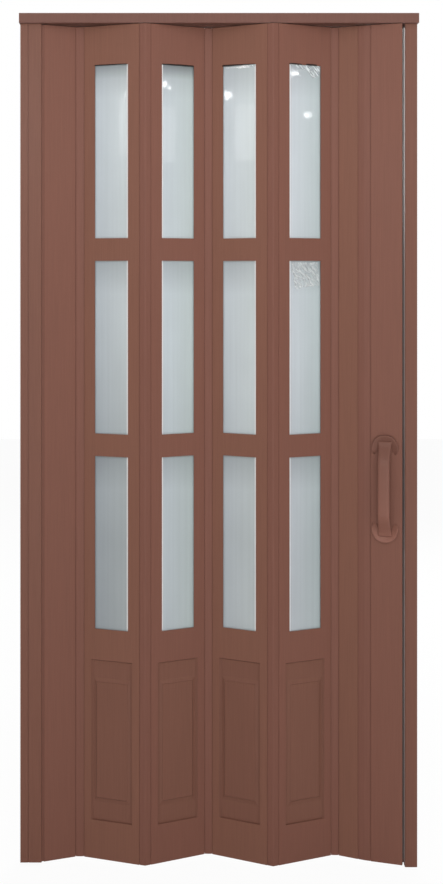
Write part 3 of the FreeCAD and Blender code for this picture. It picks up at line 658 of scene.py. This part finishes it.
def raise_end(builder: Builder, source: bpy.types.Mesh, top: float, height: float) -> None:
    """Adds a slab on a piece's upper end.

    Args:
        builder: mesh that gets the slab.
        source: the piece's mesh.
        top: level of its upper end.
        height: thickness of the slab.
    """
    slab = bmesh.new()
    slab.from_mesh(source)
    bmesh.ops.remove_doubles(slab, verts=slab.verts, dist=MERGE)
    others = [face for face in slab.faces if min(vertex.co.z for vertex in face.verts) < top - 1e-5]
    bmesh.ops.delete(slab, geom=others, context="FACES")
    grown = bmesh.ops.extrude_face_region(slab, geom=slab.faces[:], use_keep_orig=True)
    raised = [item for item in grown["geom"] if isinstance(item, bmesh.types.BMVert)]
    bmesh.ops.translate(slab, vec=(0, 0, height), verts=raised)
    bmesh.ops.recalc_face_normals(slab, faces=slab.faces)
    part = bpy.data.meshes.new("slab")
    slab.to_mesh(part)
    slab.free()
    builder.from_mesh(part)


@dataclass
class Surround:
    """Header track with its caps and runners, wall channel, left post and strike jamb."""

    track: SatinPlastic = SatinPlastic("track_plastic", (109.5, 75.5, 66), roughness=0.4)
    post: SatinPlastic = SatinPlastic("post_plastic", (116, 78, 65), roughness=0.4)
    runner: SatinPlastic = SatinPlastic("runner_plastic", (78, 54, 46), roughness=0.35, streak=0.01, grain=0.02)
    magnet: SatinPlastic = SatinPlastic("magnet_strip", (30, 26, 24), roughness=0.7, streak=0.03, grain=0.1)

    def dress(self) -> None:
        """Gives the surround and the running parts their finishes."""
        dress(self.track.build(), "header_track", "header_cap_left", "header_cap_right")
        dress(self.post.build(), "wall_channel", "left_post", "strike_jamb")
        dress(self.runner.build(), "runner_1", "runner_2", "runner_3")
        dress(self.magnet.build(), "magnet_strip_lead", "magnet_strip_jamb")


@dataclass(frozen=True)
class Scrap:
    """Crumpled four cornered piece of film in front of a window.

    Attributes:
        pane: the window's pane.
        corners: across from the window's middle and down from its top in millimetres, clockwise from the
            upper left.
        lift: mean distance from the pane's middle in millimetres.
        seed: place in the noise, so that each piece creases in its own way.
        crush: how deeply it is creased, with 1 for a crumpled piece.
        cells: cells across and down.
        thick: thickness of the film.
        stray: how far its points stray sideways.
        crease: depth of its slanting creases.
        dent: depth of its small dents.
        waves: noise cells in a metre.
        slants: noise cells in a metre over and along the creases.
    """

    pane: str
    corners: tuple[Pair, ...]
    lift: float
    seed: float
    crush: float
    cells: tuple[int, int] = (22, 16)
    thick: float = 0.25 * MM
    stray: float = 2.2 * MM
    crease: float = 5 * MM
    dent: float = 1.5 * MM
    waves: float = 60.0
    slants: Pair = (150.0, 30.0)

    def spot(self, u: float, v: float) -> Vector:
        """A point of the piece.

        Args:
            u: share of the way across.
            v: share of the way down.

        Returns:
            The point across, down and in front of the pane's middle, in metres.
        """
        first, second, third, fourth = (Vector(corner) * MM for corner in self.corners)
        spot = (1 - v) * ((1 - u) * first + u * second) + v * ((1 - u) * fourth + u * third)
        place = Vector((spot.x * self.waves, spot.y * self.waves, self.seed))
        stray = Vector((noise.noise(place * 1.7), noise.noise(place * 1.9 + Vector((5, 5, 0)))))
        spot += self.stray * self.crush * stray
        over, along = self.slants
        slant = Vector(((spot.x - spot.y) * over, (spot.x + spot.y) * along, self.seed))
        folded = abs(noise.noise(slant)) * self.crease + abs(noise.noise(place * 3.1)) * self.dent
        return Vector((spot.x, spot.y, self.lift * MM + self.crush * folded))

    def add(self, builder: Builder, board: Board, top: float) -> None:
        """Adds the piece to a mesh.

        Args:
            builder: mesh that gets it.
            board: the pane's board.
            top: level of the window's top.
        """
        across, down = self.cells
        rows = []
        for row in range(down + 1):
            spots = [self.spot(column / across, row / down) for column in range(across + 1)]
            rows.append([builder.verts.new(board.point(spot.x, spot.z, top - spot.y)) for spot in spots])
        faces = [builder.faces.new((upper[left], upper[left + 1], lower[left + 1], lower[left]))
                 for upper, lower in zip(rows, rows[1:]) for left in range(across)]
        bmesh.ops.solidify(builder, geom=faces, thickness=self.thick)


@dataclass(frozen=True)
class Bead:
    """Dark bead along the top of a window, which paints the shadow under the window's top edge.

    Attributes:
        pane: the window's pane.
        start: its left end, across from the window's middle in millimetres.
        end: its right end.
        first: its height at the left in millimetres.
        last: its height at the right.
        stations: sections along it.
        around: corners of a section.
        bulge: how far it stands off the skin.
        wave: how far it strays up and down.
        waves: noise cells in a metre.
        end_share: share of its height that its ends keep.
    """

    pane: str
    start: float
    end: float
    first: float
    last: float
    stations: int = 12
    around: int = 10
    bulge: float = 0.35 * MM
    wave: float = 0.5 * MM
    waves: float = 90.0
    end_share: float = 0.25

    def add(self, builder: Builder, board: Board, top: float, face: float) -> None:
        """Adds the bead to a mesh.

        Args:
            builder: mesh that gets it.
            board: the pane's board.
            top: level of the window's top.
            face: the lamella's face, from the pane's middle.
        """
        rings = []
        for step in range(self.stations + 1):
            share = step / self.stations
            across = (self.start + (self.end - self.start) * share) * MM
            half = (self.first + (self.last - self.first) * share) * MM / 2
            fullness = math.sin(math.pi * (share * 0.9 + 0.05)) ** 0.3
            half *= self.end_share + (1 - self.end_share) * fullness
            middle = top + half * 0.8 + noise.noise(Vector((across * self.waves, 0, self.start))) * self.wave
            ring = []
            for turn in range(self.around):
                angle = 2 * math.pi * turn / self.around
                off = face + self.bulge * math.sin(angle)
                ring.append(builder.verts.new(board.point(across, off, middle + half * math.cos(angle))))
            rings.append(ring)
        skin(builder, rings)


@dataclass(frozen=True)
class Glint:
    """Bright spot mirrored in a pane: its place from the window's top middle and half its size, in millimetres."""

    pane: str
    across: float
    below: float
    half_wide: float
    half_high: float


@dataclass
class Glazing:
    """Frosted panes with painted light and shade, pale bands along their forward edges, folds and loose scraps of
    their clear protective film, and dark beads of painted shadow.
    """

    rows: int = 3
    window_width: float = 84 * MM
    pane_lap: float = 18 * MM
    pane_half: float = 1.5 * MM
    lamella_half: float = 6 * MM
    band_wide: float = 4.6 * MM
    band_thick: float = 0.3 * MM
    # Painted light and shade of each column of panes.
    tones: tuple[PaneTones, ...] = (
        PaneTones((185, 193, 199), (198, 206, 207), (0.91, 0.66), 0.62),
        PaneTones((188, 196, 202), (179, 190, 189), (1.09, 0.97), 0.42),
        PaneTones((192, 199, 204), (201, 209, 209), (0.97, 0.82), 1.04),
        PaneTones((197, 203, 209), (179, 191, 192), (1.03, 0.89), 0.97))
    glints: tuple[Glint, ...] = (
        Glint("pane_1_1", 38.5, 72, 10, 24),
        Glint("pane_2_1", -33, 46, 17, 16),
        Glint("pane_2_1", -21.5, 55, 12, 12),
        Glint("pane_3_1", -33, 68.5, 32, 23),
        Glint("pane_4_1", -28, 21.5, 38, 13),
        Glint("pane_4_1", 10, 119, 21, 20))
    scraps: tuple[Scrap, ...] = (
        Scrap("pane_4_1", ((0, 0), (41, -0.5), (40.5, 24), (20, 31)), 2.3, 1.7, 0.9),
        Scrap("pane_4_1", ((-38, 0), (6, 0), (26, 22), (-22, 5)), 2.1, 5.2, 0.8),
        Scrap("pane_3_1", ((18, 0), (41.5, -0.3), (41.5, 6), (16, 5)), 2.6, 9.4, 0.2))
    folds: tuple[Scrap, ...] = (
        Scrap("pane_3_1", ((-8, 3.4), (18, -1.4), (27, 6.2), (-3, 7.6)), 3.4, 4.1, 0.2),
        Scrap("pane_3_1", ((-36, 3.2), (-8, 3.4), (-4, 5.4), (-36, 4.4)), 3.0, 7.7, 0.1))
    crushed: tuple[Scrap, ...] = (
        Scrap("pane_4_2", ((-36, 3), (35, 4), (40.5, 58), (-26, 66)), 2.4, 3.3, 1.3),)
    # Dark beads of painted shadow under the window tops.
    beads: tuple[Bead, ...] = (
        Bead("pane_1_1", -43, 40, 2.8, 1.8),
        Bead("pane_2_1", -42, 42, 2.4, 3.4),
        Bead("pane_3_1", -44, 40, 5.0, 1.4),
        Bead("pane_4_1", -43, -9, 3.4, 3.0),
        Bead("pane_4_1", 2, 32, 4.4, 4.2))
    film_edge: ClearFilm = ClearFilm("film_edge", (203, 203, 205), (0.14, 0.2))
    film_scrap: ClearFilm = ClearFilm("film_scrap", (236, 242, 244), (0.06, 0.85))
    film_fold: ClearFilm = ClearFilm("film_fold", (252, 252, 252), (0.75, 0.95))
    film_crushed: ClearFilm = ClearFilm("film_crushed", (240, 244, 244), (0.15, 0.6))
    # Painted shadow: a dark brown for the beads.
    shadow_paint: SatinPlastic = SatinPlastic("dark_sealant", (44, 33, 29), roughness=0.6, streak=0.03)
    boards: dict[str, Board] = field(default_factory=dict)

    def build(self) -> None:
        """Dresses the panes with painted light and shade and adds the pale edge bands, the film's scraps and folds,
        and the dark beads of painted shadow.
        """
        for column, tones in enumerate(self.tones, start=1):
            panes = [f"pane_{column}_{row}" for row in range(1, self.rows + 1)]
            for pane in panes:
                self.boards[pane] = Board.of_node(pane)
            board = self.boards[panes[0]]
            step = board.low - self.boards[panes[1]].low
            sheet = FrostedSheet(f"frosted_pane_{column}", board.centre, board.turn, self.window_width / 2,
                                 self.window_top(panes[0]), step, tones)
            dress(sheet.build(), *panes)
        self.add_bands()
        self.add_film("film_scraps", self.scraps, self.film_scrap)
        self.add_film("film_folds", self.folds, self.film_fold)
        self.add_film("film_crushed", self.crushed, self.film_crushed)
        self.add_beads()

    def window_top(self, pane: str) -> float:
        """Level of the top of a pane's window."""
        return self.boards[pane].high - self.pane_lap

    def add_film(self, name: str, scraps: tuple[Scrap, ...], finish: ClearFilm) -> None:
        """Adds crumpled pieces of film as one piece of the scene.

        Args:
            name: its name.
            scraps: the pieces of film.
            finish: their finish.
        """
        builder = bmesh.new()
        for scrap in scraps:
            scrap.add(builder, self.boards[scrap.pane], self.window_top(scrap.pane))
        settle(mesh_piece(name, builder, finish.build(), False), Slot.PANE)

    def add_beads(self) -> None:
        """Adds the dark beads of painted shadow along the tops of the upper windows."""
        builder = bmesh.new()
        for bead in self.beads:
            bead.add(builder, self.boards[bead.pane], self.window_top(bead.pane), self.lamella_half)
        settle(mesh_piece("sealant_beads", builder, self.shadow_paint.build()), Slot.PANE)

    def band_rule(self, sizes: dict[str, float]) -> ShapeRule:
        """Tree of a column of upright bands, one above the other."""
        rule = ShapeRule("film_bands", sizes)
        box = rule.vector(X=rule.size("Width"), Y=rule.size("Thickness"), Z=rule.size("Height"))
        band = rule.add("GeometryNodeMeshCube", {"Size": box})
        offset = rule.vector(Z=rule.size("Step"))
        places = rule.add("GeometryNodeMeshLine", {"Count": rule.size("Rows"), "Offset": offset})
        rule.close(places.outputs["Mesh"], band.outputs["Mesh"], self.film_edge.build())
        return rule

    def add_bands(self) -> None:
        """Adds a pale translucent band at the side of each window that stands forward, front and back."""
        upper = self.boards["pane_1_1"]
        sizes = {"Width": self.band_wide, "Height": upper.high - upper.low - 2 * self.pane_lap,
                 "Thickness": self.band_thick, "Step": upper.low - self.boards["pane_1_2"].low, "Rows": self.rows}
        mesh = self.band_rule(sizes).make("film_bands", sizes)
        for column, forward in enumerate(FORWARD_SIDES, start=1):
            board = self.boards[f"pane_{column}_{self.rows}"]
            place = board.matrix((board.low + board.high) / 2)
            across = forward * (self.window_width - self.band_wide) / 2
            off = self.pane_half + self.band_thick / 2
            sides = [(mesh, place @ Matrix.Translation((across, side * off, 0))) for side in (-1, 1)]
            settle(joined(f"film_bands_{column}", sides), Slot.PANE)


@dataclass
class BowHandle:
    """Bow handle: a grip that stands off the lead post between two dished, horned feet."""

    node: str
    length: float = 256 * MM
    grip_width: float = 28 * MM
    grip_thick: float = 8.6 * MM
    stand: float = 31.6 * MM
    flat_end: float = 58 * MM
    root_end: float = 113 * MM
    root_height: float = 2.6 * MM
    root_width: float = 35 * MM
    foot_half: float = 32.4 * MM
    foot_height: float = 46 * MM
    foot_thick: float = 6.8 * MM
    rim_side: float = 14 * MM
    rim_top: float = 18 * MM
    inner_height: float = 1.0 * MM
    flare_power: int = 8
    root_thinning: float = 0.55
    grip_powers: Pair = (0.45, 0.6)
    foot_powers: Pair = (2.5, 2.2)
    horn_width: float = 0.25
    horn_height: float = 0.15

    def line(self, share: float) -> Pair:
        """The grip's middle line.

        Args:
            share: place along it, from -1 at the lower foot to 1 at the upper one.

        Returns:
            Distance from the post and height, from the handle's middle.
        """
        height = share * self.root_end
        reach = min(1.0, max(0.0, (self.root_end - abs(height)) / (self.root_end - self.flat_end)))
        ease = reach * reach * (3 - 2 * reach)
        top = self.stand - self.grip_thick / 2
        return self.root_height + (top - self.root_height) * ease, height

    def grip(self, builder: Builder, stations: int = 56, around: int = 28) -> None:
        """Adds the grip as rounded sections along its middle line."""
        rings = []
        for step in range(stations + 1):
            share = 2 * step / stations - 1
            off, height = self.line(share)
            ahead = self.line(min(1, share + 0.01))
            behind = self.line(max(-1, share - 0.01))
            lean = math.atan2(ahead[0] - behind[0], ahead[1] - behind[1])
            flare = abs(share) ** self.flare_power
            half = (self.grip_width + (self.root_width - self.grip_width) * flare) / 2
            thick = self.grip_thick / 2 * (1 - self.root_thinning * flare)
            ring = []
            for turn in range(around):
                angle = 2 * math.pi * turn / around
                across = half * signed_power(math.cos(angle), self.grip_powers[0])
                depth = thick * signed_power(math.sin(angle), self.grip_powers[1])
                ring.append(builder.verts.new((across, -(off + depth * math.cos(lean)),
                                               height - depth * math.sin(lean))))
            rings.append(ring)
        skin(builder, rings)

    def foot(self, builder: Builder, side: int, stations: int = 40) -> None:
        """Adds a foot, a dished crescent round the grip's root; SIDE is 1 above and -1 below."""
        base = self.length / 2 - self.foot_height
        low = self.inner_height / self.foot_thick
        section = [(0.0, 0.0), (0.0, 0.6), (0.03, 0.86), (0.09, 1.0), (0.17, 0.98), (0.25, 0.88),
                   (0.6, 0.45 + low / 2), (0.92, low * 1.3), (1.0, low), (1.0, 0.0)]
        rings = []
        for step in range(stations + 1):
            angle = math.pi * step / stations
            tip = min(1.0, math.sin(angle) * 4 + self.horn_width)
            outer = arch(angle, self.foot_half, self.foot_height, self.foot_powers[0])
            inner = arch(angle, self.foot_half - self.rim_side, self.foot_height - self.rim_top, self.foot_powers[1])
            middle = ((outer[0] + inner[0]) / 2, (outer[1] + inner[1]) / 2)
            outer, inner = (tuple(m + (value - m) * tip for value, m in zip(edge, middle)) for edge in (outer, inner))
            ring = []
            for share, rise in section:
                x, z = (start + (end - start) * share for start, end in zip(outer, inner))
                high = self.foot_thick * rise * min(1.0, self.horn_height + 7 * math.sin(angle))
                ring.append(builder.verts.new((x, -high, side * (base + z))))
            rings.append(ring)
        skin(builder, rings)

    def build(self, post: Board, side: int, material: Material) -> Matrix:
        """Makes the handle and puts it on its side of the post.

        Args:
            post: the lead post's magnetic strip, whose face gives the post's turn.
            side: 1 for the front and -1 for the back.
            material: the handle's finish.

        Returns:
            The handle's place, with the post's face in the plane of X and Z.
        """
        builder = bmesh.new()
        self.grip(builder)
        for end in (-1, 1):
            self.foot(builder, end)
        points = [vertex.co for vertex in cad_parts[self.node].data.vertices]
        along = side * post.out
        out = Vector((along.y, -along.x, 0))
        middle = (max(p.dot(along) for p in points) + min(p.dot(along) for p in points)) / 2
        seat = min(p.dot(out) for p in points)
        low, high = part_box(self.node)
        spot = middle * along + seat * out
        turn = math.atan2(along.y, along.x)
        place = Matrix.Translation((spot.x, spot.y, (low.z + high.z) / 2)) @ Matrix.Rotation(turn, 4, "Z")
        bmesh.ops.transform(builder, matrix=place, verts=builder.verts)
        settle(mesh_piece(self.node + "_bow", builder, material), Slot.HANDLE, self.node)
        return place


@dataclass
class HandleScrews:
    """Screws in the back handle's feet, which hold both handles."""

    across: float = 45 * MM
    apart: float = 206 * MM
    seat: float = 3.2 * MM
    head: float = 3.3 * MM
    tip: float = 2.3 * MM
    depth: float = 1.9 * MM
    corners: int = 28
    finish: PlainMetal = PlainMetal("screw_head", (150, 138, 120))

    def rule(self, sizes: dict[str, float]) -> ShapeRule:
        """Tree of four heads at the corners of a rectangle."""
        rule = ShapeRule("handle_screws", sizes)
        head = rule.add("GeometryNodeMeshCone", {
            "Vertices": self.corners, "Radius Top": rule.size("Tip"), "Radius Bottom": rule.size("Head"),
            "Depth": rule.size("Depth")})
        grid = rule.add("GeometryNodeMeshGrid", {
            "Vertices X": 2, "Vertices Y": 2, "Size X": rule.size("Across"), "Size Y": rule.size("Apart")})
        rule.close(grid.outputs["Mesh"], head.outputs["Mesh"], self.finish.build())
        return rule

    def build(self, place: Matrix) -> None:
        """Puts the heads on the handle that stands at a place."""
        sizes = {"Across": self.across, "Apart": self.apart, "Head": self.head, "Tip": self.tip, "Depth": self.depth}
        mesh = self.rule(sizes).make("handle_screws", sizes)
        upright = Matrix.Translation((0, -self.seat, 0)) @ Matrix.Rotation(math.pi / 2, 4, "X")
        settle(joined("handle_screws", [(mesh, place @ upright)]), Slot.RUNNER)


def signed_power(value: float, power: float) -> float:
    """A value's power with the value's own sign."""
    return math.copysign(abs(value) ** power, value)


def arch(angle: float, half: float, high: float, power: float) -> Pair:
    """A point of an arch between an ellipse and a rectangle; the angle runs from right to left."""
    return half * signed_power(math.cos(angle), 2 / power), high * abs(math.sin(angle)) ** (2 / power)


def skin(builder: Builder, rings: list[list[bmesh.types.BMVert]], closed: bool = False) -> None:
    """Joins rings of equal length by faces, and closes both ends, or joins the last ring to the first."""
    for ring, following in zip(rings, rings[1:] + rings[:1] if closed else rings[1:]):
        for number in range(len(ring)):
            after = (number + 1) % len(ring)
            builder.faces.new((ring[number], ring[after], following[after], following[number]))
    if not closed:
        builder.faces.new(rings[0])
        builder.faces.new(rings[-1])


@dataclass
class Stage:
    """Floor, world, lamps and camera."""

    camera_place: Vector = field(default_factory=lambda: Vector((-0.1399, -3.019, -0.6305)))
    focal_pixels: float = 1260.5
    picture: tuple[int, int] = (443, 884)
    optical_axis: Pair = (160.0, 279.0)
    sensor: float = 36.0
    floor_level: float = field(default_factory=lambda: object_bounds()[0].z)
    floor_half: float = 8.0
    floor_glow: float = 0.95
    ambient: float = 0.31
    glint_level: float = 42.0
    lamp_line: float = -3.7

    def build(self) -> None:
        """Makes the whole stage."""
        self.set_colours()
        self.add_floor()
        self.add_world()
        self.add_lamps()
        self.add_camera()

    def set_colours(self) -> None:
        """Shows colours as they are written."""
        bpy.context.scene.view_settings.view_transform = "Standard"

    def add_camera(self) -> None:
        """Camera at the photograph's place, level, with the photograph's framing."""
        wide, high = self.picture
        data = bpy.data.cameras.new("camera")
        data.sensor_fit = "AUTO"
        data.sensor_width = self.sensor
        data.lens = self.focal_pixels / high * self.sensor
        data.shift_x = (wide / 2 - self.optical_axis[0]) / high
        data.shift_y = (self.optical_axis[1] - high / 2) / high
        camera = bpy.data.objects.new("camera", data)
        camera.location = self.camera_place
        camera.rotation_euler = (math.pi / 2, 0, 0)
        bpy.context.scene.collection.objects.link(camera)
        bpy.context.scene.camera = camera

    def add_floor(self) -> None:
        """Plain pale floor that keeps the door's shadow."""
        shader = Shader("floor")
        seen = shader.add("ShaderNodeLightPath").outputs["Is Camera Ray"]
        glow = shader.add("ShaderNodeEmission").outputs["Emission"]
        share = shader.spread(seen, (0.0, 1.0), (0.0, self.floor_glow))
        mix = shader.add("ShaderNodeMixShader", {"Fac": share, 1: shader.surface.outputs["BSDF"], 2: glow})
        shader.join(mix.outputs["Shader"], shader.output.inputs["Surface"])
        shader.set(base_color=linear((245, 245, 245)), roughness=0.9)
        builder = bmesh.new()
        bmesh.ops.create_grid(builder, x_segments=1, y_segments=1, size=self.floor_half)
        floor = mesh_piece("floor", builder, shader.material, False)
        floor.location = (0, 0, self.floor_level)
        floor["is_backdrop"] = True

    def add_world(self) -> None:
        """White surroundings for the camera and gloss, softer light for the surfaces."""
        world = bpy.data.worlds.new("surroundings")
        bpy.context.scene.world = world
        world.use_nodes = True
        tree = NodeTree(world.node_tree)
        path = tree.add("ShaderNodeLightPath")
        seen = path.outputs["Is Camera Ray"]
        for other in ("Is Glossy Ray", "Is Transmission Ray"):
            both = tree.add("ShaderNodeMath", {0: seen, 1: path.outputs[other]}, operation="MAXIMUM")
            seen = both.outputs["Value"]
        soft, white = (tree.add("ShaderNodeBackground", {"Color": (1, 1, 1, 1), "Strength": strength})
                       .outputs["Background"] for strength in (self.ambient, 1.0))
        mix = tree.add("ShaderNodeMixShader", {"Fac": seen, 1: soft, 2: white})
        tree.add("ShaderNodeOutputWorld", {"Surface": mix.outputs["Shader"]})

    def add_lamp(self, name: str, place: Vector, aim: Vector, size: Pair, power: float,
                 shape: str = "RECTANGLE") -> None:
        """Lamp of a width and height that the camera doesn't see."""
        data = bpy.data.lights.new(name, "AREA")
        data.shape = shape
        data.size, data.size_y = size
        data.energy = power
        lamp = bpy.data.objects.new(name, data)
        lamp.location = place
        lamp.rotation_euler = (aim - place).to_track_quat("-Z", "Y").to_euler()
        lamp.visible_camera = False
        bpy.context.scene.collection.objects.link(lamp)

    def add_lamps(self) -> None:
        """Soft key from the upper left, fills from the right, front and behind, weak lamps high and low."""
        for name, place, level, size, power in (
                ("key", (-0.9, -3.9, 0.75), -0.95, (3.4, 2.8), 35),
                ("fill", (2.2, -3.3, 0.75), -0.95, (3.2, 2.8), 23),
                ("front", (-0.1, -3.3, -0.3), -0.95, (1.6, 1.6), 16),
                ("low", (0.3, -3.4, -1.7), -1.6, (3.0, 0.5), 19),
                ("high", (0, -1.1, -0.1), -0.15, (2.2, 0.2), 4.6),
                ("rear", (0.8, 3.2, 0.6), -0.95, (2.2, 2.2), 90)):
            self.add_lamp(name, Vector(place), Vector((0, 0, level)), size, power)

    def add_glints(self, glazing: Glazing) -> None:
        """Small bright lamps that the panes mirror towards the camera.

        Args:
            glazing: the panes, with the places of their glints and the lamps' sizes.
        """
        for number, glint in enumerate(glazing.glints, start=1):
            board = glazing.boards[glint.pane]
            height = glazing.window_top(glint.pane) - glint.below * MM
            spot = board.point(glint.across * MM, glazing.pane_half, height)
            away = (spot - self.camera_place).reflect(board.out)
            place = spot + away * ((self.lamp_line - spot.y) / away.y)
            wide, high = glint.half_wide * MM, glint.half_high * MM
            power = self.glint_level * math.pi ** 2 * wide * high
            self.add_lamp(f"spark_{number}", place, spot, (2 * wide, 2 * high), power, "ELLIPSE")


def main() -> None:
    """Builds the door's looks, the stage and the camera."""
    logging.basicConfig(level=logging.INFO, format="%(message)s")
    stage = Stage()
    Surround().dress()
    Lamellas().dress()
    EndShadowSlab().build()
    glazing = Glazing()
    glazing.build()
    SunkBorders().build(glazing.boards)
    post = Board.of_node("magnet_strip_lead")
    low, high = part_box("handle_front")
    handle_finish = HandlePlastic("handle_plastic", (118, 79, 67), (low.z, high.z)).build()
    BowHandle("handle_front").build(post, 1, handle_finish)
    HandleScrews().build(BowHandle("handle_back").build(post, -1, handle_finish))
    stage.build()
    stage.add_glints(glazing)


if __name__ == "__main__":
    main()
